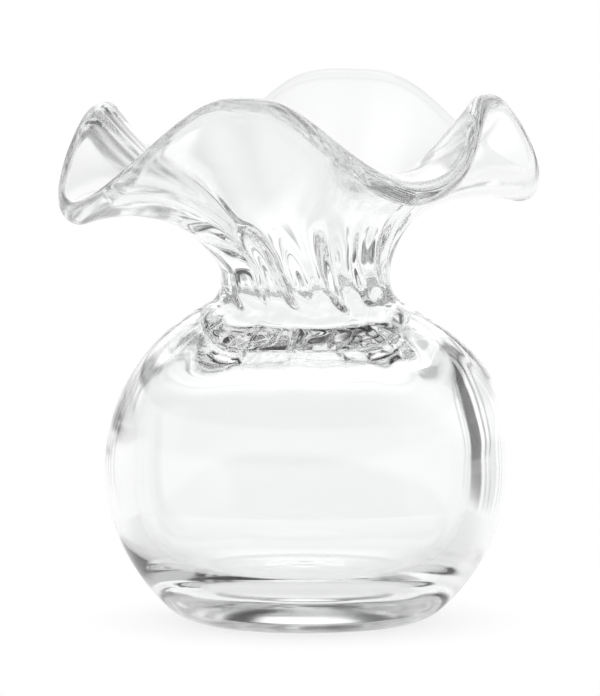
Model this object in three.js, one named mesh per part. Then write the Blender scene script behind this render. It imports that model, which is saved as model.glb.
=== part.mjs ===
// A bud vase of clear glass, worked by hand: a heavy base with a flat ground foot, a round blown bowl,
// a thick neck with upright folds, and a mouth that flares into a ruffled lip of four waves.
// Millimetres, +Z up. The origin is the middle of the foot, and the front faces -Y.
import * as THREE from "three";

// Base
const FOOT_RADIUS = 20; // of the flat ground face that the vase stands on
const FOOT_CUT_RADIUS = 24; // where the bowl's round outside would reach the ground without its heel
const HEEL_RISE = 3; // height at which the rounded heel runs into the bowl's outside
const BASE_THICKNESS = 10.8; // solid glass under the cavity
const DIMPLE_RADIUS = 8.5; // of the polished hollow under the foot
const DIMPLE_DEPTH = 0.8;

// Bowl
const BOWL_RADIUS = 40.3; // outside, at the widest place
const BOWL_HALF_HEIGHT = 38; // of the ellipse that the outside follows
const BOWL_WALL = 6; // at the widest place
const CEILING = 10.8; // glass over the cavity, measured up the axis
const CEILING_POWER = 2.8; // of the curve that the ceiling follows: 2 is an ellipse, and more is squarer
const CAVITY_LIFT = 2.7; // how much higher the cavity is widest than the outside
const CAVITY_SHIFT = -1.2; // the cavity lies nearer the left side
const FLOOR_RADIUS = 17; // flat part of the cavity's floor
const CAVITY_FULLNESS = 0.65; // 0 is a sharp slant from the floor to the side, 1 a square corner
const SHOULDER_BULGE = 2; // how far the outside stands out on the right, below the shoulder
const BULGE_HEIGHT = 48.5; // of the bulge's middle
const BULGE_FLAT = 1.5; // up and down from the middle, where the bulge is full
const BULGE_REACH = 14.5; // up and down from the middle, where it has died out

// Neck
const NECK_RADIUS = 16.8; // outside
const NECK_WALL = 5.2;
const NECK_LENGTH = 4.9; // straight throat between the shoulder and the flare
const SHOULDER_FILLET = 1; // outside, where the neck springs from the bowl
const SHOULDER_RISE = 1;
const BORE_FILLET = 3; // inside, where the bore opens into the cavity
const BORE_RISE = 3;
const COLLAR_REACH = 5.6; // how far the neck's glass reaches over the cavity, out from the bore
const FOLDS = 5; // rounded upright folds round the neck, with narrow valleys between them
const FOLD_AZIMUTH = THREE.MathUtils.degToRad(265); // of a fold's middle, at the neck's top
const FOLD_TWIST = THREE.MathUtils.degToRad(1.6); // turn of the folds for each millimetre further down
const FOLD_DEPTH = 0.35; // outside
const BORE_FOLD_DEPTH = 1.4;
const FOLD_START = 6; // height over which a fold grows to its full depth
const VALLEY_ROUNDING = 0.2; // 0 is a sharp valley between two folds

// Ruffled rim
const LIP_THICKNESS = 4.8;
const CREST_LEAN = THREE.MathUtils.degToRad(55); // slope of the lip at a crest
const TROUGH_LEAN = THREE.MathUtils.degToRad(-15);
const CREST_HOLD = 14; // length of wall that follows the lip's slope
const TROUGH_HOLD = 20;
const FLARE_RISE = 8.8; // height over which the wall turns outwards
const FLARE_TILT = 2.2; // the flare starts this much higher on the right and lower on the left
const FOLD_FADE = 0.6; // share of the flare over which the neck's folds die out

// Reach from the axis and rise above the neck of the lip, at its four crests and four troughs
const BACK_CREST_REACH = 38;
const BACK_CREST_RISE = 36.5;
const LEFT_CREST_REACH = 41.6;
const LEFT_CREST_RISE = 31;
const FRONT_CREST_REACH = 36.8;
const FRONT_CREST_RISE = 34.4;
const RIGHT_CREST_REACH = 37.2;
const RIGHT_CREST_RISE = 33.8;
const BACK_RIGHT_TROUGH_REACH = 51.5;
const BACK_RIGHT_TROUGH_RISE = 14.4;
const BACK_LEFT_TROUGH_REACH = 53;
const BACK_LEFT_TROUGH_RISE = 14.5;
const FRONT_LEFT_TROUGH_REACH = 52.2;
const FRONT_LEFT_TROUGH_RISE = 14;
const FRONT_RIGHT_TROUGH_REACH = 50.2;
const FRONT_RIGHT_TROUGH_RISE = 19;

// The lip's turns, by azimuth in degrees from +X. Breadth and swing are for the stretch from a turn to the
// next: above 1 the lip keeps the crest's rise (breadth) or reach (swing) over more of that stretch.
const LIP_TURNS = [
  { azimuth: 33, reach: BACK_RIGHT_TROUGH_REACH, rise: BACK_RIGHT_TROUGH_RISE, breadth: 1.9, swing: 1.9 },
  { azimuth: 79, reach: BACK_CREST_REACH, rise: BACK_CREST_RISE, breadth: 1.5, swing: 1.5 },
  { azimuth: 123, reach: BACK_LEFT_TROUGH_REACH, rise: BACK_LEFT_TROUGH_RISE, breadth: 0.7, swing: 2.2 },
  { azimuth: 164, reach: LEFT_CREST_REACH, rise: LEFT_CREST_RISE, breadth: 1.5, swing: 1.5 },
  { azimuth: 212, reach: FRONT_LEFT_TROUGH_REACH, rise: FRONT_LEFT_TROUGH_RISE, breadth: 1.5, swing: 1.5 },
  { azimuth: 251, reach: FRONT_CREST_REACH, rise: FRONT_CREST_RISE, breadth: 1.4, swing: 1.3 },
  { azimuth: 294, reach: FRONT_RIGHT_TROUGH_REACH, rise: FRONT_RIGHT_TROUGH_RISE, breadth: 1, swing: 1.1 },
  { azimuth: 340, reach: RIGHT_CREST_REACH, rise: RIGHT_CREST_RISE, breadth: 1.5, swing: 1.5 },
];

// Fineness of the faceted solids
const SEGMENTS = 64;
const HEEL_ROWS = 4;
const WALL_ROWS = 9;
const FILLET_ROWS = 4;
const NECK_ROWS = 4;
const FLARE_ROWS = 11;
const LIP_ROWS = 6;

// The curves that the bowl's outside and the cavity's ceiling follow, in radius and height
const outside = {
  power: 2,
  radius: BOWL_RADIUS,
  halfHeight: BOWL_HALF_HEIGHT,
  centre: BOWL_HALF_HEIGHT * Math.sqrt(1 - (FOOT_CUT_RADIUS / BOWL_RADIUS) ** 2),
};
const cavityCentre = outside.centre + CAVITY_LIFT;
const cavity = {
  power: CEILING_POWER,
  radius: BOWL_RADIUS - BOWL_WALL,
  halfHeight: outside.centre + outside.halfHeight - CEILING - cavityCentre,
  centre: cavityCentre,
};
const boreRadius = NECK_RADIUS - NECK_WALL;

const angleAtHeight = (curve, height) => {
  const share = (height - curve.centre) / curve.halfHeight;
  return Math.sign(share) * Math.asin(Math.abs(share) ** (curve.power / 2));
};
const angleAtRadius = (curve, radius) => Math.acos((radius / curve.radius) ** (curve.power / 2));

function pointAt(curve, angle) {
  const across = Math.cos(angle) ** (2 / curve.power);
  const up = Math.sign(angle) * Math.abs(Math.sin(angle)) ** (2 / curve.power);
  return new THREE.Vector2(curve.radius * across, curve.centre + curve.halfHeight * up);
}

// Change of radius with height along the curve
function slopeAt(curve, angle) {
  const steepness = Math.abs(Math.tan(angle)) ** (2 - 2 / curve.power);
  return (-Math.sign(angle) * steepness * curve.radius) / curve.halfHeight;
}

function arc(curve, fromAngle, toAngle, rows) {
  const alongs = Array.from({ length: rows + 1 }, (_, row) => row / rows);
  return alongs.map((along) => pointAt(curve, THREE.MathUtils.lerp(fromAngle, toAngle, along)));
}

// A rounded corner from the curve, beside an upright wall, up into that wall
function springing(curve, wallRadius, fillet, rise) {
  const angle = angleAtRadius(curve, wallRadius + fillet);
  const start = pointAt(curve, angle);
  const corner = new THREE.Vector2(wallRadius, start.y - fillet / slopeAt(curve, angle));
  const end = new THREE.Vector2(wallRadius, corner.y + rise);
  const points = new THREE.QuadraticBezierCurve(start, corner, end).getPoints(FILLET_ROWS);
  return { angle, start, corner, end, points };
}

// A straight upright run of the section
function upright(radius, fromHeight, toHeight) {
  const from = new THREE.Vector2(radius, fromHeight);
  const to = new THREE.Vector2(radius, toHeight);
  return new THREE.LineCurve(from, to).getPoints(NECK_ROWS);
}

// One outline from runs of points that follow each other, without the points where they meet twice
const outline = (...runs) => runs.flatMap((run, index) => (index === 0 ? run : run.slice(1)));

const shoulder = springing(outside, NECK_RADIUS, SHOULDER_FILLET, SHOULDER_RISE);
const throat = springing(cavity, boreRadius, BORE_FILLET, BORE_RISE);
const neckTop = shoulder.corner.y + NECK_LENGTH;
const collarAngle = angleAtRadius(cavity, boreRadius + COLLAR_REACH);
const collarHeight = pointAt(cavity, collarAngle).y;

// A ring of points round the axis, as a function of the azimuth
const circle = (radius, height, shift) => (azimuth) =>
  new THREE.Vector3(shift + radius * Math.cos(azimuth), radius * Math.sin(azimuth), height);

// How far the outside stands out, on the right below the shoulder
function bulgeAt(azimuth, height) {
  const share = 1 - THREE.MathUtils.smoothstep(Math.abs(height - BULGE_HEIGHT), BULGE_FLAT, BULGE_REACH);
  return SHOULDER_BULGE * share * Math.max(Math.cos(azimuth), 0) ** 1.5;
}

// How far a fold stands out, or a valley lies in below 0, as a share of its depth
function foldAt(azimuth, height) {
  const middle = FOLD_AZIMUTH + FOLD_TWIST * (neckTop - height);
  const wave = Math.cos((FOLDS * (azimuth - middle)) / 2);
  return 2 * Math.hypot(wave, VALLEY_ROUNDING) - 1.3;
}

// A closed skin over rings that follow each other round the section: up the outside, down the inside
function loft(rings) {
  const positions = [];
  const faces = [];
  rings.forEach((ring, row) => {
    const nextRow = (row + 1) % rings.length;
    for (let step = 0; step < SEGMENTS; step += 1) {
      const nextStep = (step + 1) % SEGMENTS;
      positions.push(...ring((2 * Math.PI * step) / SEGMENTS));
      const here = row * SEGMENTS + step;
      const beside = row * SEGMENTS + nextStep;
      const above = nextRow * SEGMENTS + step;
      const across = nextRow * SEGMENTS + nextStep;
      faces.push(here, beside, across, here, across, above);
    }
  });
  const geometry = new THREE.BufferGeometry();
  geometry.setAttribute("position", new THREE.Float32BufferAttribute(positions, 3));
  geometry.setIndex(faces);
  geometry.computeVertexNormals();
  return geometry;
}

// The solid puck under the cavity, turned about the axis: dimple, flat foot, heel, side, flat top
function makeBase() {
  const dimple = new THREE.QuadraticBezierCurve(
    new THREE.Vector2(0, DIMPLE_DEPTH),
    new THREE.Vector2(DIMPLE_RADIUS / 2, DIMPLE_DEPTH),
    new THREE.Vector2(DIMPLE_RADIUS, 0),
  );
  const heelAngle = angleAtHeight(outside, HEEL_RISE);
  const heelEnd = pointAt(outside, heelAngle);
  const heel = new THREE.QuadraticBezierCurve(
    new THREE.Vector2(FOOT_RADIUS, 0),
    new THREE.Vector2(heelEnd.x - HEEL_RISE * slopeAt(outside, heelAngle), 0),
    heelEnd,
  );
  const side = arc(outside, heelAngle, angleAtHeight(outside, BASE_THICKNESS), HEEL_ROWS);
  const profile = [
    ...dimple.getPoints(HEEL_ROWS),
    ...outline(heel.getPoints(HEEL_ROWS), side),
    new THREE.Vector2(0, BASE_THICKNESS),
  ];
  return new THREE.LatheGeometry(profile, SEGMENTS).rotateX(Math.PI / 2);
}

// The blown wall, from the flat top of the base to the collar, round a cavity that lies to one side
function makeBowl() {
  const collarOutside = angleAtHeight(outside, collarHeight);
  const outer = arc(outside, angleAtHeight(outside, BASE_THICKNESS), collarOutside, WALL_ROWS);
  const ceiling = arc(cavity, collarAngle, 0, WALL_ROWS);
  const drop = cavity.centre - BASE_THICKNESS;
  const spread = cavity.radius - FLOOR_RADIUS;
  const side = new THREE.CubicBezierCurve(
    new THREE.Vector2(cavity.radius, cavity.centre),
    new THREE.Vector2(cavity.radius, cavity.centre - CAVITY_FULLNESS * drop),
    new THREE.Vector2(FLOOR_RADIUS + CAVITY_FULLNESS * spread, BASE_THICKNESS),
    new THREE.Vector2(FLOOR_RADIUS, BASE_THICKNESS),
  );
  const inner = outline(ceiling, side.getPoints(WALL_ROWS));
  return loft([
    ...outer.map((point) => (azimuth) => circle(point.x + bulgeAt(azimuth, point.y), point.y, 0)(azimuth)),
    ...inner.map((point) => circle(point.x, point.y, CAVITY_SHIFT)),
  ]);
}

// The collar: the last of the shoulder outside, the ceiling's edge and the bore inside, with upright folds
function makeNeck() {
  const collarOutside = angleAtHeight(outside, collarHeight);
  const outer = outline(
    arc(outside, collarOutside, shoulder.angle, FILLET_ROWS),
    shoulder.points,
    upright(NECK_RADIUS, shoulder.end.y, neckTop),
  );
  const inner = outline(
    upright(boreRadius, neckTop, throat.end.y),
    throat.points.toReversed(),
    arc(cavity, throat.angle, collarAngle, FILLET_ROWS),
  );
  const foldFrom = (azimuth, height, start) =>
    foldAt(azimuth, height) * THREE.MathUtils.smoothstep(height, start, start + FOLD_START);
  const outerRing = (point) => (azimuth) => {
    const fold = FOLD_DEPTH * foldFrom(azimuth, point.y, neckTop - FOLD_START);
    return circle(point.x + bulgeAt(azimuth, point.y) + fold, point.y, 0)(azimuth);
  };
  const innerRing = (point) => (azimuth) => {
    const fold = BORE_FOLD_DEPTH * foldFrom(azimuth, point.y, throat.start.y);
    const centring = THREE.MathUtils.smoothstep(point.y, collarHeight, neckTop);
    return circle(point.x + fold, point.y, CAVITY_SHIFT * (1 - centring))(azimuth);
  };
  return loft([...outer.map(outerRing), ...inner.map(innerRing)]);
}

// Reach, rise and nearness to a crest (1) or a trough (0) of the lip at an azimuth in radians
function lipAt(azimuth) {
  const degrees = THREE.MathUtils.euclideanModulo(THREE.MathUtils.radToDeg(azimuth), 360);
  const after = LIP_TURNS.findIndex((turn) => turn.azimuth > degrees);
  const next = LIP_TURNS[after === -1 ? 0 : after];
  const last = LIP_TURNS.at(after === -1 ? -1 : after - 1);
  const span = THREE.MathUtils.euclideanModulo(next.azimuth - last.azimuth, 360);
  const along = THREE.MathUtils.euclideanModulo(degrees - last.azimuth, 360) / span;
  const [crest, trough] = last.rise > next.rise ? [last, next] : [next, last];
  const fromCrest = crest === last ? along : 1 - along;
  const wave = (breadth) => 0.5 + 0.5 * Math.cos(Math.PI * fromCrest ** breadth);
  const share = wave(last.breadth);
  return {
    share,
    reach: THREE.MathUtils.lerp(trough.reach, crest.reach, wave(last.swing)),
    rise: THREE.MathUtils.lerp(trough.rise, crest.rise, share),
  };
}

// Middle of the flaring wall at an azimuth: its point and direction, in radius and height, along the flare
function flareAt(azimuth, along) {
  const { share, reach, rise } = lipAt(azimuth);
  const lean = THREE.MathUtils.lerp(TROUGH_LEAN, CREST_LEAN, share);
  const hold = THREE.MathUtils.lerp(TROUGH_HOLD, CREST_HOLD, share);
  const start = new THREE.Vector2((NECK_RADIUS + boreRadius) / 2, neckTop);
  const upright = start.clone();
  upright.y += FLARE_RISE + FLARE_TILT * Math.cos(azimuth);
  const lip = new THREE.Vector2(reach, neckTop + rise);
  const leaning = new THREE.Vector2(lip.x - hold * Math.cos(lean), lip.y - hold * Math.sin(lean));
  const middle = new THREE.CubicBezierCurve(start, upright, leaning, lip);
  const heading = new THREE.QuadraticBezierCurve(
    upright.clone().sub(start),
    leaning.clone().sub(upright),
    lip.clone().sub(leaning),
  );
  return { point: middle.getPoint(along), direction: heading.getPoint(along).normalize() };
}

// The flared mouth: out along the underside, round the lip, and back down the inside into the bore
function makeRim() {
  // A point beside the wall's middle: out is along the wall's outward side, on is past its end
  const besideMiddle = (azimuth, along, out, on) => {
    const { point, direction } = flareAt(azimuth, along);
    const radius = point.x + out * direction.y + on * direction.x;
    const height = point.y - out * direction.x + on * direction.y;
    return circle(radius, height, 0)(azimuth);
  };
  const sheet = (along, side, depth) => (azimuth) => {
    const half = THREE.MathUtils.lerp(NECK_WALL, LIP_THICKNESS, along) / 2;
    const fade = 1 - THREE.MathUtils.smoothstep(along, 0, FOLD_FADE);
    const fold = foldAt(azimuth, flareAt(azimuth, along).point.y) * fade;
    return besideMiddle(azimuth, along, side * half + depth * fold, 0);
  };
  const lip = (turn) => (azimuth) => {
    const half = LIP_THICKNESS / 2;
    return besideMiddle(azimuth, 1, half * Math.cos(turn), half * Math.sin(turn));
  };
  const alongs = Array.from({ length: FLARE_ROWS + 1 }, (_, row) => row / FLARE_ROWS);
  const turns = Array.from({ length: LIP_ROWS - 1 }, (_, row) => (Math.PI * (row + 1)) / LIP_ROWS);
  return loft([
    ...alongs.map((along) => sheet(along, 1, FOLD_DEPTH)),
    ...turns.map(lip),
    ...alongs.toReversed().map((along) => sheet(along, -1, BORE_FOLD_DEPTH)),
  ]);
}

function glassPiece(name, geometry, color, roughness) {
  const opacity = 0.4; // clear glass, drawn so that its edges still show
  const material = new THREE.MeshStandardMaterial({ color, roughness, metalness: 0 });
  material.transparent = true;
  material.opacity = opacity;
  const mesh = new THREE.Mesh(geometry, material);
  mesh.name = name;
  return mesh;
}

const vase = new THREE.Group();
vase.add(
  glassPiece("heavy_base", makeBase(), 0xe6eded, 0.06),
  glassPiece("bowl", makeBowl(), 0xf2f6f6, 0.03),
  glassPiece("neck", makeNeck(), 0xeef2f3, 0.04),
  glassPiece("ruffled_rim", makeRim(), 0xf0f4f4, 0.04),
);

export default vase;
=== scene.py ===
import math
from collections import namedtuple

import bpy
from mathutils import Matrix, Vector


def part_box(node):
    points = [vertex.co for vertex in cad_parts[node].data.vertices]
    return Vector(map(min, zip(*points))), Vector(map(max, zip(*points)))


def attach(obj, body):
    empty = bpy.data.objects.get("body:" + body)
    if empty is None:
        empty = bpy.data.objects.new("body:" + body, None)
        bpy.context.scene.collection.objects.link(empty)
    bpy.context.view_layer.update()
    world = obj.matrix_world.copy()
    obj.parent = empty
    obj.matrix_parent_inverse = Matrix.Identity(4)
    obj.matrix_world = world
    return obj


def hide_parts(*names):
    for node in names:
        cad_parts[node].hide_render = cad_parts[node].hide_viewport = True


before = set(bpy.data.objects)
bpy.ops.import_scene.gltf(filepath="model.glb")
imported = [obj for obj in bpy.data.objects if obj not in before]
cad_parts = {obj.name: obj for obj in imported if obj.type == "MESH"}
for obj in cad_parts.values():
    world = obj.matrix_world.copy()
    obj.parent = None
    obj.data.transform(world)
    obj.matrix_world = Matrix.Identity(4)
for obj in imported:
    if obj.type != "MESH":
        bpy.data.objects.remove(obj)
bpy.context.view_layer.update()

# The glass of the vase, in its maker's order: a gather of clear soda glass is blown into a bowl with a
# heavy foot, pinched to a short neck with upright folds, and its mouth is flared and ruffled while hot.
# All of it is one piece of glass, so one closed skin stands for the four solids of the frame.

MM = 0.001
floor_drop = 1.2 * MM
cavity_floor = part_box("heavy_base")[1][2] - floor_drop
collar_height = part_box("neck")[0][2]
neck_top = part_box("neck")[1][2]

foot_radius = 20 * MM
dimple_radius = 8.5 * MM
dimple_depth = 0.8 * MM
heel_rise = 3 * MM
foot_cut_radius = 24 * MM
bowl_radius = 40.3 * MM
bowl_half_height = 38 * MM
bowl_centre = bowl_half_height * math.sqrt(1 - (foot_cut_radius / bowl_radius) ** 2)
cavity_radius = 34.3 * MM
cavity_lift = 2.7 * MM
cavity_centre = bowl_centre + cavity_lift
ceiling_glass = 10.8 * MM
cavity_half_height = bowl_centre + bowl_half_height - ceiling_glass - cavity_centre
ceiling_power = 2.8
cavity_shift = -0.4 * MM
floor_radius = 17 * MM
cavity_fullness = 0.65
neck_radius = 16.8 * MM
neck_wall = 5.2 * MM
bore_radius = neck_radius - neck_wall
shoulder_fillet = 3.4 * MM
shoulder_rise = 3.4 * MM
bore_fillet = 5 * MM
bore_rise = 9 * MM


def ellipse_point(radius, half_height, centre, angle, power=2.0):
    """Point (radius, height) of an ellipse about the axis, squarer where its power is above 2."""
    across = math.cos(angle) ** (2 / power)
    up = math.copysign(abs(math.sin(angle)) ** (2 / power), angle)
    return radius * across, centre + half_height * up


def ellipse_arc(radius, half_height, centre, start, end, power=2.0, steps=60):
    """Points of such an ellipse between two angles above its widest place."""
    angles = [start + (end - start) * step / steps for step in range(steps + 1)]
    return [ellipse_point(radius, half_height, centre, angle, power) for angle in angles]


def bezier(points, steps=24):
    """Points of a Bezier curve of any order through its control points."""
    result = []
    for step in range(steps + 1):
        row = [Vector(point) for point in points]
        while len(row) > 1:
            row = [a.lerp(b, step / steps) for a, b in zip(row, row[1:])]
        result.append(tuple(row[0]))
    return result


def springing(radius, half_height, centre, wall_radius, fillet, rise, power=2.0):
    """Angle where a round corner leaves the ellipse, and the corner's points up into an upright wall."""
    angle = math.acos(((wall_radius + fillet) / radius) ** (power / 2))
    start = Vector(ellipse_point(radius, half_height, centre, angle, power))
    slope = half_height / radius * math.tan(angle) ** (2 / power - 2)
    corner = Vector((wall_radius, start.y + fillet * slope))
    return angle, bezier([start, corner, corner + Vector((0, rise))])


def section_line(name, points):
    """A line of the vase's section, in the XZ plane, as a helper object for the node tree."""
    curve = bpy.data.curves.new(name, "CURVE")
    curve.dimensions = "3D"
    spline = curve.splines.new("POLY")
    spline.points.add(len(points) - 1)
    for place, (radius, height) in zip(spline.points, points):
        place.co = (radius, 0, height, 1)
    helper = bpy.data.objects.new(name, curve)
    bpy.context.scene.collection.objects.link(helper)
    return helper


heel_angle = math.asin((heel_rise - bowl_centre) / bowl_half_height)
heel_end = Vector((bowl_radius * math.cos(heel_angle), heel_rise))
heel_slope = -bowl_radius * math.sin(heel_angle) / (bowl_half_height * math.cos(heel_angle))
shoulder_angle, shoulder = springing(
    bowl_radius, bowl_half_height, bowl_centre, neck_radius, shoulder_fillet, shoulder_rise
)
shoulder_start = math.radians(52)
outside_foot = section_line("outside_foot", [
    *bezier([(0, dimple_depth), (dimple_radius / 2, dimple_depth), (dimple_radius, 0)]),
    *bezier([(foot_radius, 0), (heel_end.x - heel_rise * heel_slope, 0), heel_end]),
])
outside_bowl = section_line(
    "outside_bowl", ellipse_arc(bowl_radius, bowl_half_height, bowl_centre, heel_angle, shoulder_start)
)
outside_neck = section_line("outside_neck", [
    *ellipse_arc(bowl_radius, bowl_half_height, bowl_centre, shoulder_start, shoulder_angle),
    *shoulder[1:],
    (neck_radius, neck_top),
])

throat_angle, throat = springing(
    cavity_radius, cavity_half_height, cavity_centre, bore_radius, bore_fillet, bore_rise, ceiling_power
)
drop = cavity_centre - cavity_floor
ceiling_start = math.radians(45)
inside_neck = section_line("inside_neck", [
    (bore_radius, neck_top),
    *reversed(throat),
    *ellipse_arc(
        cavity_radius, cavity_half_height, cavity_centre, throat_angle, ceiling_start, ceiling_power
    )[1:],
])
inside_bowl = section_line("inside_bowl", [
    *ellipse_arc(cavity_radius, cavity_half_height, cavity_centre, ceiling_start, 0, ceiling_power),
    *bezier([
        (cavity_radius, cavity_centre),
        (cavity_radius, cavity_centre - cavity_fullness * drop),
        (floor_radius + cavity_fullness * (cavity_radius - floor_radius), cavity_floor),
        (floor_radius, cavity_floor),
    ], 60)[1:],
    (0, cavity_floor),
])

# The lip's turns round the mouth: azimuth in degrees from +X, reach from the axis and rise above the neck.
# Breadth and swing say how long the lip keeps a crest's rise and reach on the way to the next turn.
LipTurn = namedtuple("LipTurn", "azimuth reach rise breadth swing")
lip_turns = [
    LipTurn(33, 51.5 * MM, 14.4 * MM, 1.9, 1.9),
    LipTurn(79, 38 * MM, 36.5 * MM, 1.5, 1.5),
    LipTurn(123, 53 * MM, 14.5 * MM, 0.7, 2.2),
    LipTurn(164, 41.6 * MM, 31 * MM, 1.5, 1.5),
    LipTurn(212, 52.2 * MM, 14 * MM, 1.5, 1.5),
    LipTurn(251, 36.8 * MM, 34.4 * MM, 1.4, 1.3),
    LipTurn(294, 50.2 * MM, 19 * MM, 1.0, 1.1),
    LipTurn(340, 37.2 * MM, 33.8 * MM, 1.5, 1.5),
]
lip_steps = 360


def lip_line(name):
    """The middle of the lip as a closed helper line, with how near each point is to a crest."""
    curve = bpy.data.curves.new(name, "CURVE")
    curve.dimensions = "3D"
    spline = curve.splines.new("POLY")
    spline.points.add(lip_steps - 1)
    spline.use_cyclic_u = True
    for step, place in enumerate(spline.points):
        azimuth = 360 * step / lip_steps
        after = next((i for i, turn in enumerate(lip_turns) if turn.azimuth > azimuth), 0)
        last, following = lip_turns[after - 1], lip_turns[after]
        along = (azimuth - last.azimuth) % 360 / ((following.azimuth - last.azimuth) % 360)
        crest, trough = (last, following) if last.rise > following.rise else (following, last)
        from_crest = along if crest is last else 1 - along
        high = 0.5 + 0.5 * math.cos(math.pi * from_crest ** last.breadth)
        near = 0.5 + 0.5 * math.cos(math.pi * from_crest ** last.swing)
        reach = trough.reach + (crest.reach - trough.reach) * near
        rise = trough.rise + (crest.rise - trough.rise) * high
        angle = math.radians(azimuth)
        place.co = (reach * math.cos(angle), reach * math.sin(angle), neck_top + rise, 1)
        place.radius = high
    helper = bpy.data.objects.new(name, curve)
    bpy.context.scene.collection.objects.link(helper)
    return helper


lip = lip_line("lip_line")


def add_node(tree, kind, inputs=None, **settings):
    """A new node: settings are its properties, inputs its sockets' values or the outputs they take."""
    node = tree.nodes.new(kind)
    for name, value in settings.items():
        setattr(node, name, value)
    for key, value in (inputs or {}).items():
        if isinstance(value, bpy.types.NodeSocket):
            tree.links.new(value, node.inputs[key])
        else:
            node.inputs[key].default_value = value
    return node


def sums(tree, operation, *values):
    """The result of a Math node."""
    return add_node(tree, "ShaderNodeMath", dict(enumerate(values)), operation=operation).outputs[0]


def vectors(tree, operation, first, second):
    """The result of a Vector Math node, where SCALE takes a number as its second value."""
    key = "Scale" if operation == "SCALE" else 1
    return add_node(tree, "ShaderNodeVectorMath", {0: first, key: second}, operation=operation).outputs[0]


def between(tree, share, first, second):
    """A point between two vectors."""
    inputs = {0: share, 4: first, 5: second}
    return add_node(tree, "ShaderNodeMix", inputs, data_type="VECTOR", clamp_factor=False).outputs[1]


def ramp(tree, value, low, high, bottom=0.0, top=1.0, kind="SMOOTHSTEP"):
    """A value mapped from low..high to bottom..top, held at both ends."""
    inputs = {"Value": value, "From Min": low, "From Max": high, "To Min": bottom, "To Max": top}
    return add_node(tree, "ShaderNodeMapRange", inputs, interpolation_type=kind).outputs[0]


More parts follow.
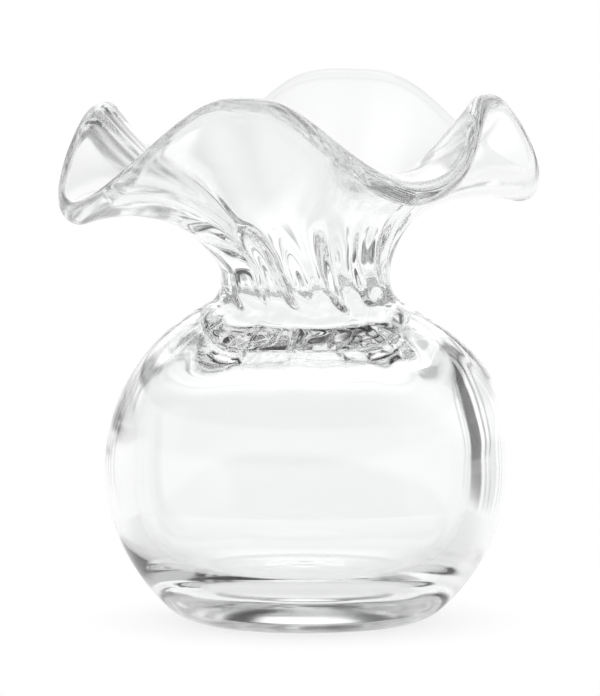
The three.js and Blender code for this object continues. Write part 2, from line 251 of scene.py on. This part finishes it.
def make_wall_tree():
    """The vase's skin: the section turned round the axis, and the mouth drawn from the neck to the lip."""
    tree = bpy.data.node_groups.new("vase_skin", "GeometryNodeTree")
    sockets = {
        "Outside Foot": ("NodeSocketObject", None),
        "Outside Bowl": ("NodeSocketObject", None),
        "Outside Neck": ("NodeSocketObject", None),
        "Inside Neck": ("NodeSocketObject", None),
        "Inside Bowl": ("NodeSocketObject", None),
        "Lip": ("NodeSocketObject", None),
        "Columns": ("NodeSocketInt", 330),
        "Foot Rows": ("NodeSocketInt", 33),
        "Bowl Rows": ("NodeSocketInt", 37),
        "Neck Rows": ("NodeSocketInt", 37),
        "Mouth Rows": ("NodeSocketInt", 121),
        "Collar Height": ("NodeSocketFloat", 0.0),
        "Neck Top": ("NodeSocketFloat", 0.0),
        "Neck Middle": ("NodeSocketFloat", 0.0),
        "Neck Wall": ("NodeSocketFloat", 0.0),
        "Lip Thickness": ("NodeSocketFloat", 4.8 * MM),
        "Lip Share": ("NodeSocketFloat", 0.24),
        "Flare Rise": ("NodeSocketFloat", 8.8 * MM),
        "Flare Tilt": ("NodeSocketFloat", 2.2 * MM),
        "Crest Lean": ("NodeSocketFloat", math.radians(55)),
        "Trough Lean": ("NodeSocketFloat", math.radians(-15)),
        "Crest Hold": ("NodeSocketFloat", 14 * MM),
        "Trough Hold": ("NodeSocketFloat", 20 * MM),
        "Cavity Shift": ("NodeSocketFloat", 0.0),
        "Shoulder Bulge": ("NodeSocketFloat", 2 * MM),
        "Throat Height": ("NodeSocketFloat", 0.0),
        "Throat Length": ("NodeSocketFloat", 13 * MM),
        "Ceiling Lift": ("NodeSocketFloat", 1.6 * MM),
        "Corner Drop": ("NodeSocketFloat", -0.5),
        "Folds": ("NodeSocketFloat", 5.0),
        "Fold Azimuth": ("NodeSocketFloat", math.radians(265)),
        "Fold Twist": ("NodeSocketFloat", math.radians(1.6) / MM),
        "Fold Start": ("NodeSocketFloat", 6 * MM),
        "Fold Depth": ("NodeSocketFloat", 0.35 * MM),
        "Bore Fold Depth": ("NodeSocketFloat", 2.8 * MM),
        "Fold Fade": ("NodeSocketFloat", 0.5),
        "Valley Rounding": ("NodeSocketFloat", 0.12),
        "Small Folds": ("NodeSocketFloat", 13.0),
        "Small Fold Turn": ("NodeSocketFloat", 2.1),
        "Small Fold Share": ("NodeSocketFloat", 0.35),
        "Pleats": ("NodeSocketFloat", 0.9 * MM),
        "Unevenness": ("NodeSocketFloat", 0.35 * MM),
        "Uneven Scale": ("NodeSocketFloat", 30.0),
        "Tool Marks": ("NodeSocketFloat", 0.7 * MM),
        "Tool Mark Scale": ("NodeSocketFloat", 150.0),
        "Pleat Scale": ("NodeSocketFloat", 80.0),
        "Weld Distance": ("NodeSocketFloat", 0.005 * MM),
        "Material": ("NodeSocketMaterial", None),
    }
    tree.interface.new_socket("Geometry", in_out="INPUT", socket_type="NodeSocketGeometry")
    for name, (kind, value) in sockets.items():
        socket = tree.interface.new_socket(name, in_out="INPUT", socket_type=kind)
        if value is not None:
            socket.default_value = value
    tree.interface.new_socket("Geometry", in_out="OUTPUT", socket_type="NodeSocketGeometry")
    given = tree.nodes.new("NodeGroupInput").outputs

    # Place of each point on a flat sheet: how far round the lip, and how far along the section
    on_sheet = tree.nodes.new("GeometryNodeInputPosition").outputs[0]
    place = add_node(tree, "ShaderNodeSeparateXYZ", {0: on_sheet})
    around = sums(tree, "ADD", place.outputs[0], 0.5)
    along = sums(tree, "ADD", place.outputs[1], 0.5)

    def line_at(name, factor, value=None):
        """A helper line's point at a share of its length, and a value of its own there."""
        info = add_node(tree, "GeometryNodeObjectInfo", {"Object": given[name]})
        inputs = {"Curves": info.outputs["Geometry"], "Factor": factor}
        if value is not None:
            inputs["Value"] = value
        return add_node(tree, "GeometryNodeSampleCurve", inputs, mode="FACTOR", use_all_curves=True).outputs

    lip_at = line_at("Lip", around, tree.nodes.new("GeometryNodeInputRadius").outputs[0])
    crest = lip_at["Value"]
    lip_xyz = add_node(tree, "ShaderNodeSeparateXYZ", {0: lip_at["Position"]}).outputs
    azimuth = sums(tree, "ARCTAN2", lip_xyz[1], lip_xyz[0])
    reach_squared = sums(tree, "ADD", sums(tree, "MULTIPLY", lip_xyz[0], lip_xyz[0]),
                         sums(tree, "MULTIPLY", lip_xyz[1], lip_xyz[1]))
    reach = sums(tree, "SQRT", reach_squared)

    def hump(value, begin, full, still_full, end):
        """1 between the two middle values, and 0 beyond the outer two."""
        rising = ramp(tree, value, begin, full)
        return sums(tree, "MINIMUM", rising, ramp(tree, value, still_full, end, 1.0, 0.0))

    scallop_swing = 2.0
    scallop_middle = -1.3

    def fold_at(height):
        """How far out the neck's folds stand at a height: scallops, with small folds on them."""
        rise = sums(tree, "SUBTRACT", given["Neck Top"], height)
        turned_by = sums(tree, "MULTIPLY", rise, given["Fold Twist"])
        angle = sums(tree, "SUBTRACT", azimuth, sums(tree, "ADD", given["Fold Azimuth"], turned_by))
        half_folds = sums(tree, "DIVIDE", given["Folds"], 2.0)
        wave = sums(tree, "COSINE", sums(tree, "MULTIPLY", angle, half_folds))
        scallop = sums(tree, "SQRT", sums(tree, "MULTIPLY_ADD", wave, wave, given["Valley Rounding"]))
        main = sums(tree, "MULTIPLY_ADD", scallop, scallop_swing, scallop_middle)
        small_angle = sums(tree, "MULTIPLY_ADD", angle, given["Small Folds"], given["Small Fold Turn"])
        return sums(tree, "MULTIPLY_ADD", sums(tree, "COSINE", small_angle), given["Small Fold Share"], main)

    def in_section(radius, height):
        """A point of the section, in the XZ plane."""
        return add_node(tree, "ShaderNodeCombineXYZ", {0: radius, 2: height}).outputs[0]

    def turned(point):
        """A point of the section, turned round the axis to its azimuth."""
        inputs = {"Vector": point, "Angle": azimuth}
        return add_node(tree, "ShaderNodeVectorRotate", inputs, rotation_type="Z_AXIS").outputs[0]

    def sheet(rows, position):
        """A flat sheet of mesh, bent to where each of its points belongs."""
        inputs = {"Size X": 1, "Size Y": 1, "Vertices X": given["Columns"], "Vertices Y": rows}
        grid = add_node(tree, "GeometryNodeMeshGrid", inputs).outputs["Mesh"]
        return add_node(tree, "GeometryNodeSetPosition", {"Geometry": grid, "Position": position}).outputs[0]

    # Outside and inside of the body, turned round the axis, with the folds growing towards the neck. The
    # outside bulges on the right of the shoulder. The inside lies to the left, and its ceiling is higher at
    # the two sides and lower at the four corners between.
    bulge_heights = (34 * MM, 47 * MM, 50 * MM, 63 * MM)
    bulge_power = 1.5
    lift_heights = (44 * MM, 56 * MM, 59 * MM, 68 * MM)
    lift_power = 6.0
    folds_begin = sums(tree, "SUBTRACT", given["Neck Top"], given["Fold Start"])
    sideways = sums(tree, "COSINE", azimuth)
    rightward = sums(tree, "POWER", sums(tree, "MAXIMUM", sideways, 0.0), bulge_power)
    side_share = sums(tree, "POWER", sums(tree, "ABSOLUTE", sideways), lift_power)
    to_corner = sums(tree, "SINE", sums(tree, "MULTIPLY", azimuth, 2.0))
    corner_share = sums(tree, "POWER", to_corner, 2.0)
    lift_share = sums(tree, "MULTIPLY_ADD", corner_share, given["Corner Drop"], side_share)

    def body(name, rows, depth, low, high, bulge, shift, lift):
        """One wall of the body, with folds of this depth that grow from the low to the high height."""
        section = line_at(name, along)["Position"]
        height = add_node(tree, "ShaderNodeSeparateXYZ", {0: section}).outputs[2]
        grown = sums(tree, "MULTIPLY", depth, ramp(tree, height, low, high))
        fold = sums(tree, "MULTIPLY", fold_at(height), grown)
        swell = hump(height, *bulge_heights)
        pushed = sums(tree, "MULTIPLY_ADD", sums(tree, "MULTIPLY", swell, rightward), bulge, fold)
        raised = hump(height, *lift_heights)
        lifted = sums(tree, "MULTIPLY", sums(tree, "MULTIPLY", raised, lift_share), lift)
        folded = vectors(tree, "ADD", section, in_section(pushed, lifted))
        below_neck = ramp(tree, height, given["Collar Height"], given["Neck Top"], 1.0, 0.0)
        aside = sums(tree, "MULTIPLY", below_neck, shift)
        return sheet(rows, vectors(tree, "ADD", turned(folded), in_section(aside, 0.0)))

    outside = (given["Fold Depth"], folds_begin, given["Neck Top"], given["Shoulder Bulge"], 0.0, 0.0)
    throat_end = sums(tree, "ADD", given["Throat Height"], given["Throat Length"])
    inside = (given["Bore Fold Depth"], given["Throat Height"], throat_end, 0.0, given["Cavity Shift"],
              given["Ceiling Lift"])
    sheets = [
        body("Outside Foot", given["Foot Rows"], *outside),
        body("Outside Bowl", given["Bowl Rows"], *outside),
        body("Outside Neck", given["Neck Rows"], *outside),
        body("Inside Neck", given["Neck Rows"], *inside),
        body("Inside Bowl", given["Bowl Rows"], *inside),
    ]

    # Middle of the mouth's wall: a Bezier curve from the upright neck to the leaning lip
    sheet_share = sums(tree, "DIVIDE", sums(tree, "SUBTRACT", 1.0, given["Lip Share"]), 2.0)
    nearest = sums(tree, "MINIMUM", along, sums(tree, "SUBTRACT", 1.0, along))
    flare = sums(tree, "MINIMUM", sums(tree, "DIVIDE", nearest, sheet_share), 1.0)
    lip_end = sums(tree, "SUBTRACT", 1.0, sheet_share)
    turn = ramp(tree, along, sheet_share, lip_end, 0.0, math.pi, "LINEAR")
    lean = ramp(tree, crest, 0.0, 1.0, given["Trough Lean"], given["Crest Lean"], "LINEAR")
    hold = ramp(tree, crest, 0.0, 1.0, given["Trough Hold"], given["Crest Hold"], "LINEAR")
    tilt = sums(tree, "MULTIPLY", given["Flare Tilt"], sums(tree, "COSINE", azimuth))
    upright_height = sums(tree, "ADD", sums(tree, "ADD", given["Neck Top"], given["Flare Rise"]), tilt)
    back = in_section(sums(tree, "MULTIPLY", hold, sums(tree, "COSINE", lean)),
                      sums(tree, "MULTIPLY", hold, sums(tree, "SINE", lean)))
    start = in_section(given["Neck Middle"], given["Neck Top"])
    upright = in_section(given["Neck Middle"], upright_height)
    lip_point = in_section(reach, lip_xyz[2])
    leaning = vectors(tree, "SUBTRACT", lip_point, back)
    controls = [start, upright, leaning, lip_point]
    while len(controls) > 2:
        controls = [between(tree, flare, a, b) for a, b in zip(controls, controls[1:])]
    middle = between(tree, flare, *controls)
    onward = vectors(tree, "NORMALIZE", vectors(tree, "SUBTRACT", controls[1], controls[0]), (0, 0, 0))
    outward = vectors(tree, "CROSS_PRODUCT", (0, 1, 0), onward)

    # The wall's two faces beside that middle, joined by the rounded lip
    side = sums(tree, "COSINE", turn)
    half = ramp(tree, flare, 0.0, 1.0, sums(tree, "DIVIDE", given["Neck Wall"], 2.0),
                sums(tree, "DIVIDE", given["Lip Thickness"], 2.0), "LINEAR")
    depth = ramp(tree, side, -1.0, 1.0, given["Bore Fold Depth"], given["Fold Depth"], "LINEAR")
    fade = ramp(tree, flare, 0.0, given["Fold Fade"], 1.0, 0.0)
    fold = fold_at(add_node(tree, "ShaderNodeSeparateXYZ", {0: middle}).outputs[2])
    out = sums(tree, "ADD", sums(tree, "MULTIPLY", half, side),
               sums(tree, "MULTIPLY", sums(tree, "MULTIPLY", fold, depth), fade))
    on = sums(tree, "MULTIPLY", half, sums(tree, "SINE", turn))
    beside = vectors(tree, "ADD", vectors(tree, "SCALE", outward, out), vectors(tree, "SCALE", onward, on))
    sheets.append(sheet(given["Mouth Rows"], turned(vectors(tree, "ADD", middle, beside))))

    join = tree.nodes.new("GeometryNodeJoinGeometry")
    for part in sheets:
        tree.links.new(part, join.inputs[0])
    weld = {"Geometry": join.outputs[0], "Distance": given["Weld Distance"]}
    closed = add_node(tree, "GeometryNodeMergeByDistance", weld)

    # Hand work leaves the walls a little uneven and the bore full of tool marks, but the ground foot is flat
    point = tree.nodes.new("GeometryNodeInputPosition").outputs[0]
    height = add_node(tree, "ShaderNodeSeparateXYZ", {0: point}).outputs[2]
    still_flat, fully_free = 3 * MM, 14 * MM
    marks_below_throat, marks_growth, marks_above_neck = 1 * MM, 6 * MM, 12 * MM
    free = ramp(tree, height, still_flat, fully_free)

    def waves(vector, scale, distortion=0.0):
        """Plain smooth noise about 0."""
        inputs = {"Vector": vector, "Scale": scale, "Detail": 0.0, "Distortion": distortion}
        return sums(tree, "SUBTRACT", add_node(tree, "ShaderNodeTexNoise", inputs).outputs[0], 0.5)

    swell = sums(tree, "MULTIPLY", waves(point, given["Uneven Scale"]), given["Unevenness"])
    drawn = vectors(tree, "MULTIPLY", point, (1.0, 1.0, 0.6))
    marks = waves(drawn, given["Tool Mark Scale"], 0.6)
    low_end = sums(tree, "SUBTRACT", given["Throat Height"], marks_below_throat)
    grown = sums(tree, "ADD", low_end, marks_growth)
    high_end = sums(tree, "ADD", given["Neck Top"], marks_above_neck)
    worked = hump(height, low_end, grown, given["Neck Top"], high_end)
    spoke = vectors(tree, "NORMALIZE", vectors(tree, "MULTIPLY", point, (1, 1, 0)), (0, 0, 0))
    normal = tree.nodes.new("GeometryNodeInputNormal").outputs[0]
    facing = add_node(tree, "ShaderNodeVectorMath", {0: normal, 1: spoke}, operation="DOT_PRODUCT")
    inner_wall = ramp(tree, facing.outputs[1], -0.2, 0.2, 1.0, 0.0)
    worked = sums(tree, "MULTIPLY", worked, inner_wall)
    tooled = sums(tree, "MULTIPLY", sums(tree, "MULTIPLY", marks, given["Tool Marks"]), worked)

    # The cavity's ceiling is drawn into pleats that run out from the throat
    pleats_begin, pleats_full = 46 * MM, 54 * MM
    spoke_spread, point_spread = 0.03, 0.25
    upward = add_node(tree, "ShaderNodeSeparateXYZ", {0: normal}).outputs[2]
    facing_down = ramp(tree, sums(tree, "MULTIPLY", upward, -1.0), 0.3, 0.8)
    ceiling = sums(tree, "MINIMUM", facing_down, ramp(tree, height, pleats_begin, pleats_full))
    below_bore = ramp(tree, height, given["Throat Height"], given["Neck Top"], 1.0, 0.0)
    ceiling = sums(tree, "MINIMUM", ceiling, below_bore)
    radiating = vectors(tree, "ADD", vectors(tree, "SCALE", spoke, spoke_spread),
                        vectors(tree, "SCALE", point, point_spread))
    pleats = waves(radiating, given["Pleat Scale"], 0.4)
    pleated = sums(tree, "MULTIPLY", sums(tree, "MULTIPLY", pleats, given["Pleats"]), ceiling)
    bulge = sums(tree, "ADD", sums(tree, "MULTIPLY_ADD", swell, free, tooled), pleated)
    offset = vectors(tree, "SCALE", normal, bulge)
    uneven = add_node(tree, "GeometryNodeSetPosition", {"Geometry": closed.outputs[0], "Offset": offset})
    smooth = add_node(tree, "GeometryNodeSetShadeSmooth", {"Geometry": uneven.outputs[0]})
    real = add_node(tree, "GeometryNodeRealizeInstances", {"Geometry": smooth.outputs[0]})
    glaze = {"Geometry": real.outputs[0], "Material": given["Material"]}
    glazed = add_node(tree, "GeometryNodeSetMaterial", glaze)
    tree.links.new(glazed.outputs[0], tree.nodes.new("NodeGroupOutput").inputs[0])
    return tree


def clear_glass():
    """Clear soda glass, fire-polished: faint cords and streaks in the skin and a breath of grey-green. The
    lip is a trace softer than the bowl, and the ring that the foot stands on is ground."""
    cord_scale = 90.0
    film_scale = 60.0
    polish = (0.02, 0.06)
    lip_softness = 0.055
    ground_softness = 0.12
    lip_heights = (76 * MM, 84 * MM)
    lip_radii = (26 * MM, 36 * MM)
    ring_heights = (0.05 * MM, 0.3 * MM)
    ring_radii = (8 * MM, 9 * MM)
    clear = (1.0, 1.0, 1.0, 1)
    grey_green = (0.975, 0.985, 0.985, 1)
    material = bpy.data.materials.new("clear_glass")
    material.use_nodes = True
    tree = material.node_tree
    tree.nodes.clear()
    place = tree.nodes.new("ShaderNodeTexCoord").outputs["Object"]
    drawn = add_node(tree, "ShaderNodeMapping", {"Vector": place, "Scale": (1.0, 1.0, 0.35)}).outputs[0]
    cord_noise = {"Vector": drawn, "Scale": cord_scale, "Detail": 0.0}
    cords = add_node(tree, "ShaderNodeTexNoise", cord_noise).outputs[0]
    relief = {"Height": cords, "Strength": 0.04, "Distance": 0.5 * MM}
    bump = add_node(tree, "ShaderNodeBump", relief).outputs[0]
    film_noise = {"Vector": place, "Scale": film_scale, "Detail": 3.0}
    film = add_node(tree, "ShaderNodeTexNoise", film_noise).outputs[0]
    polished = ramp(tree, film, 0.35, 0.7, *polish)
    height = add_node(tree, "ShaderNodeSeparateXYZ", {0: place}).outputs[2]
    flat = vectors(tree, "MULTIPLY", place, (1, 1, 0))
    from_axis = add_node(tree, "ShaderNodeVectorMath", {0: flat}, operation="LENGTH").outputs["Value"]
    ground = sums(tree, "MULTIPLY", ramp(tree, height, *ring_heights, 1.0, 0.0),
                  ramp(tree, from_axis, *ring_radii))
    near_lip = sums(tree, "MULTIPLY", ramp(tree, height, *lip_heights), ramp(tree, from_axis, *lip_radii))
    softened = sums(tree, "MULTIPLY_ADD", near_lip, lip_softness, polished)
    roughness = sums(tree, "MULTIPLY_ADD", ground, ground_softness, softened)
    tint = add_node(tree, "ShaderNodeMix", {0: film, 6: clear, 7: grey_green}, data_type="RGBA").outputs[2]
    glass = add_node(tree, "ShaderNodeBsdfPrincipled", {
        "Base Color": tint,
        "Roughness": roughness,
        "IOR": 1.5,
        "Transmission Weight": 1.0,
        "Normal": bump,
    })
    output = tree.nodes.new("ShaderNodeOutputMaterial")
    tree.links.new(glass.outputs[0], output.inputs["Surface"])
    return material


def from_tree(name, tree, values):
    """A plain mesh object from a node tree, whose inputs are set by their sockets' identifiers."""
    maker = bpy.data.objects.new(name + "_maker", bpy.data.meshes.new(name + "_maker"))
    bpy.context.scene.collection.objects.link(maker)
    modifier = maker.modifiers.new("tree", "NODES")
    modifier.node_group = tree
    for socket in tree.interface.items_tree:
        if socket.in_out == "INPUT" and socket.name in values:
            modifier[socket.identifier] = values[socket.name]
    evaluated = maker.evaluated_get(bpy.context.evaluated_depsgraph_get())
    mesh = bpy.data.meshes.new_from_object(evaluated)
    mesh.name = name
    maker.modifiers.remove(modifier)
    bpy.data.objects.remove(maker)
    piece = bpy.data.objects.new(name, mesh)
    bpy.context.scene.collection.objects.link(piece)
    return piece


vase = from_tree("vase_glass", make_wall_tree(), {
    "Outside Foot": outside_foot,
    "Outside Bowl": outside_bowl,
    "Outside Neck": outside_neck,
    "Inside Neck": inside_neck,
    "Inside Bowl": inside_bowl,
    "Lip": lip,
    "Collar Height": collar_height,
    "Neck Top": neck_top,
    "Neck Middle": neck_radius - neck_wall / 2,
    "Neck Wall": neck_wall,
    "Cavity Shift": cavity_shift,
    "Throat Height": throat[0][1],
    "Material": clear_glass(),
})
for helper in (outside_foot, outside_bowl, outside_neck, inside_neck, inside_bowl, lip):
    bpy.data.objects.remove(helper)
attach(vase, "root")
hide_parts("heavy_base", "bowl", "neck", "ruffled_rim")

# The floor of the studio: a round sheet of plain white paper, laid flat under the vase. Its edge is lost
# in the white background, and it shows the vase's soft shadow.
sheet_radius = 100 * MM
floor_gap = 0.2 * MM
floor_sides = 128
floor_mesh = bpy.data.meshes.new("floor")
turns = [2 * math.pi * side / floor_sides for side in range(floor_sides)]
edge = [(sheet_radius * math.cos(turn), sheet_radius * math.sin(turn), -floor_gap) for turn in turns]
floor_mesh.from_pydata(edge, [], [tuple(range(floor_sides))])
floor = bpy.data.objects.new("floor", floor_mesh)
bpy.context.scene.collection.objects.link(floor)


def seen_in_glass(tree):
    """1 for what the eye sees through the glass or reflected in it, and 0 for all else."""
    path = tree.nodes.new("ShaderNodeLightPath").outputs
    return sums(tree, "MAXIMUM", path["Is Glossy Ray"], path["Is Transmission Ray"])


def white_paper():
    """Matt white paper, lifted so that it is white to the eye and keeps the vase's shadow. In the glass it
    shows painted shade, greyer to the sides and the front, and a painted pool of light, brighter close to
    the foot."""
    glow_to_eye = 0.78
    # Painted shade: levels of the paper's glow in the glass, dimmer to the sides and front than behind
    painted_shade_aside, painted_shade_behind = 0.56, 0.76
    # Painted light: how much brighter the paper is near the foot in the glass, and over which radii
    painted_light_pool = 1.3
    painted_pool_radii = (22 * MM, 36 * MM)
    paper_grey = (0.3, 0.3, 0.3, 1)
    material = bpy.data.materials.new("white_paper")
    material.use_nodes = True
    tree = material.node_tree
    paper = tree.nodes["Principled BSDF"]
    place = tree.nodes.new("ShaderNodeTexCoord").outputs["Object"]
    flat = vectors(tree, "MULTIPLY", place, (1, 1, 0))
    from_axis = add_node(tree, "ShaderNodeVectorMath", {0: flat}, operation="LENGTH").outputs["Value"]
    outward = vectors(tree, "NORMALIZE", flat, (0, 0, 0))
    backward = add_node(tree, "ShaderNodeSeparateXYZ", {0: outward}).outputs[1]
    # Painted shade: in the glass the paper is greyer to the sides and the front than behind
    brightness = ramp(tree, backward, 0.3, 0.97, painted_shade_aside, painted_shade_behind)
    # Painted light: a pool of light on the paper close to the foot, as seen in the glass
    brightness = sums(tree, "MULTIPLY", brightness, ramp(tree, from_axis, *painted_pool_radii, painted_light_pool, 1.0))
    in_glass = sums(tree, "MULTIPLY", seen_in_glass(tree), brightness)
    seen_directly = tree.nodes.new("ShaderNodeLightPath").outputs["Is Camera Ray"]
    to_the_eye = sums(tree, "MULTIPLY", seen_directly, glow_to_eye)
    fibre = add_node(tree, "ShaderNodeTexNoise", {"Vector": place, "Scale": 900.0, "Detail": 3.0}).outputs[0]
    bump = add_node(tree, "ShaderNodeBump", {"Height": fibre, "Strength": 0.05, "Distance": 0.1 * MM})
    paper.inputs["Base Color"].default_value = paper_grey
    paper.inputs["Roughness"].default_value = 1.0
    paper.inputs["Specular IOR Level"].default_value = 0.0
    paper.inputs["Emission Color"].default_value = (1, 1, 1, 1)
    tree.links.new(sums(tree, "ADD", in_glass, to_the_eye), paper.inputs["Emission Strength"])
    tree.links.new(bump.outputs[0], paper.inputs["Normal"])
    return material


floor_mesh.materials.append(white_paper())

# The studio's light, as the glass shows it: a low white tent all round, a tall white backdrop behind the
# vase, a weaker light at each side, a lamp straight above and a dark room between them. Narrow dark flags
# draw the lines in the glass walls, and two low grey ones shade the tent's top on both sides of the vase.
Panel = namedtuple("Panel", "azimuth half_width low high bright")
tent_top = math.radians(10)
tent_behind = 1.03
tent_aside = 0.9
glow_foot = math.radians(-10)
glow_head = math.radians(4)
glow_low = 0.95
glow_high = 1.12
backdrop = Panel(90, 26, 4, 52, 1.25)
side_lights = [Panel(14, 48, 0, 32, 0.55), Panel(150, 40, 0, 24, 0.5)]
lamp = Panel(90, 180, 74, 100, 1.0)
flags = [
    Panel(44, 6.5, -14, 26, 0.1),
    Panel(56, 1.2, -13, 24, 0.35),
    Panel(62, 1.0, -12, 20, 0.5),
    Panel(67, 12, 6, 12.5, 0.55),
    Panel(111, 14, 6, 12.5, 0.55),
    Panel(114, 1.0, -9, 14, 0.6),
    Panel(120, 1.2, -9, 15, 0.55),
    Panel(127, 1.4, -9, 16, 0.5),
]
dark_room = 0.03
tent_softness = math.radians(4)
panel_softness = math.radians(8)
flag_softness = math.radians(0.8)
flag_fade = math.radians(2.4)


def studio_world():
    """White light for every surface, and the studio's panels for what glass shows."""
    world = bpy.data.worlds.new("studio")
    world.use_nodes = True
    tree = world.node_tree
    direction = tree.nodes.new("ShaderNodeTexCoord").outputs["Generated"]
    x, y, z = add_node(tree, "ShaderNodeSeparateXYZ", {0: direction}).outputs
    azimuth = sums(tree, "ARCTAN2", y, x)
    elevation = sums(tree, "ARCSINE", z)

    def share_of(panel, softness, fade):
        """1 inside a panel and 0 outside it, soft at its sides and fading at its top and foot."""
        turn = sums(tree, "SUBTRACT", azimuth, math.radians(panel.azimuth))
        away = sums(tree, "ABSOLUTE", sums(tree, "WRAP", turn, math.pi, -math.pi))
        half, low, high = (math.radians(angle) for angle in (panel.half_width, panel.low, panel.high))
        across = ramp(tree, away, half - softness, half + softness, 1.0, 0.0)
        above = ramp(tree, elevation, low - fade, low + fade)
        below = ramp(tree, elevation, high - fade, high + fade, 1.0, 0.0)
        return sums(tree, "MULTIPLY", across, sums(tree, "MULTIPLY", above, below))

    tent = ramp(tree, sums(tree, "SINE", azimuth), 0.2, 0.9, tent_aside, tent_behind)
    glow = ramp(tree, elevation, glow_foot, glow_head, glow_low, glow_high)
    brightness = sums(tree, "MULTIPLY", tent, glow)
    bright = ramp(tree, elevation, tent_top - tent_softness, tent_top + tent_softness, brightness, dark_room)
    for panel in (backdrop, *side_lights, lamp):
        share = share_of(panel, panel_softness, panel_softness)
        bright = sums(tree, "MAXIMUM", bright, sums(tree, "MULTIPLY", share, panel.bright))
    for flag in flags:
        share = share_of(flag, flag_softness, flag_fade)
        let_through = sums(tree, "MULTIPLY_ADD", share, flag.bright - 1, 1.0)
        bright = sums(tree, "MULTIPLY", bright, let_through)
    plain = tree.nodes["Background"]
    plain.inputs["Color"].default_value = (1, 1, 1, 1)
    shown = add_node(tree, "ShaderNodeBackground", {"Color": bright, "Strength": 1.0})
    choice = {0: seen_in_glass(tree), 1: plain.outputs[0], 2: shown.outputs[0]}
    mixed = add_node(tree, "ShaderNodeMixShader", choice)
    tree.links.new(mixed.outputs[0], tree.nodes["World Output"].inputs["Surface"])
    return world


bpy.context.scene.world = studio_world()

# The camera stands a little above the vase, with a long lens, as in the photograph. It is aimed at the
# middle of the vase, and everything is sharp.
image_width = 600
pixels_per_metre = 5000
camera_distance = 1.3
camera_elevation = math.radians(5.5)
aim = Vector((-1.2 * MM, 0, 54.7 * MM))
camera_data = bpy.data.cameras.new("camera")
camera_data.sensor_fit = "HORIZONTAL"
camera_data.lens = camera_data.sensor_width * camera_distance * pixels_per_metre / image_width
camera = bpy.data.objects.new("camera", camera_data)
backward = Vector((0, -math.cos(camera_elevation), math.sin(camera_elevation)))
camera.location = aim + camera_distance * backward
camera.rotation_euler = (math.pi / 2 - camera_elevation, 0, 0)
bpy.context.scene.collection.objects.link(camera)
bpy.context.scene.camera = camera

# Light turns many times inside thick glass before it leaves it.
glass_bounces = 64
scene = bpy.context.scene
scene.view_settings.view_transform = "Standard"
scene.cycles.max_bounces = glass_bounces
scene.cycles.transmission_bounces = glass_bounces
scene.cycles.glossy_bounces = glass_bounces
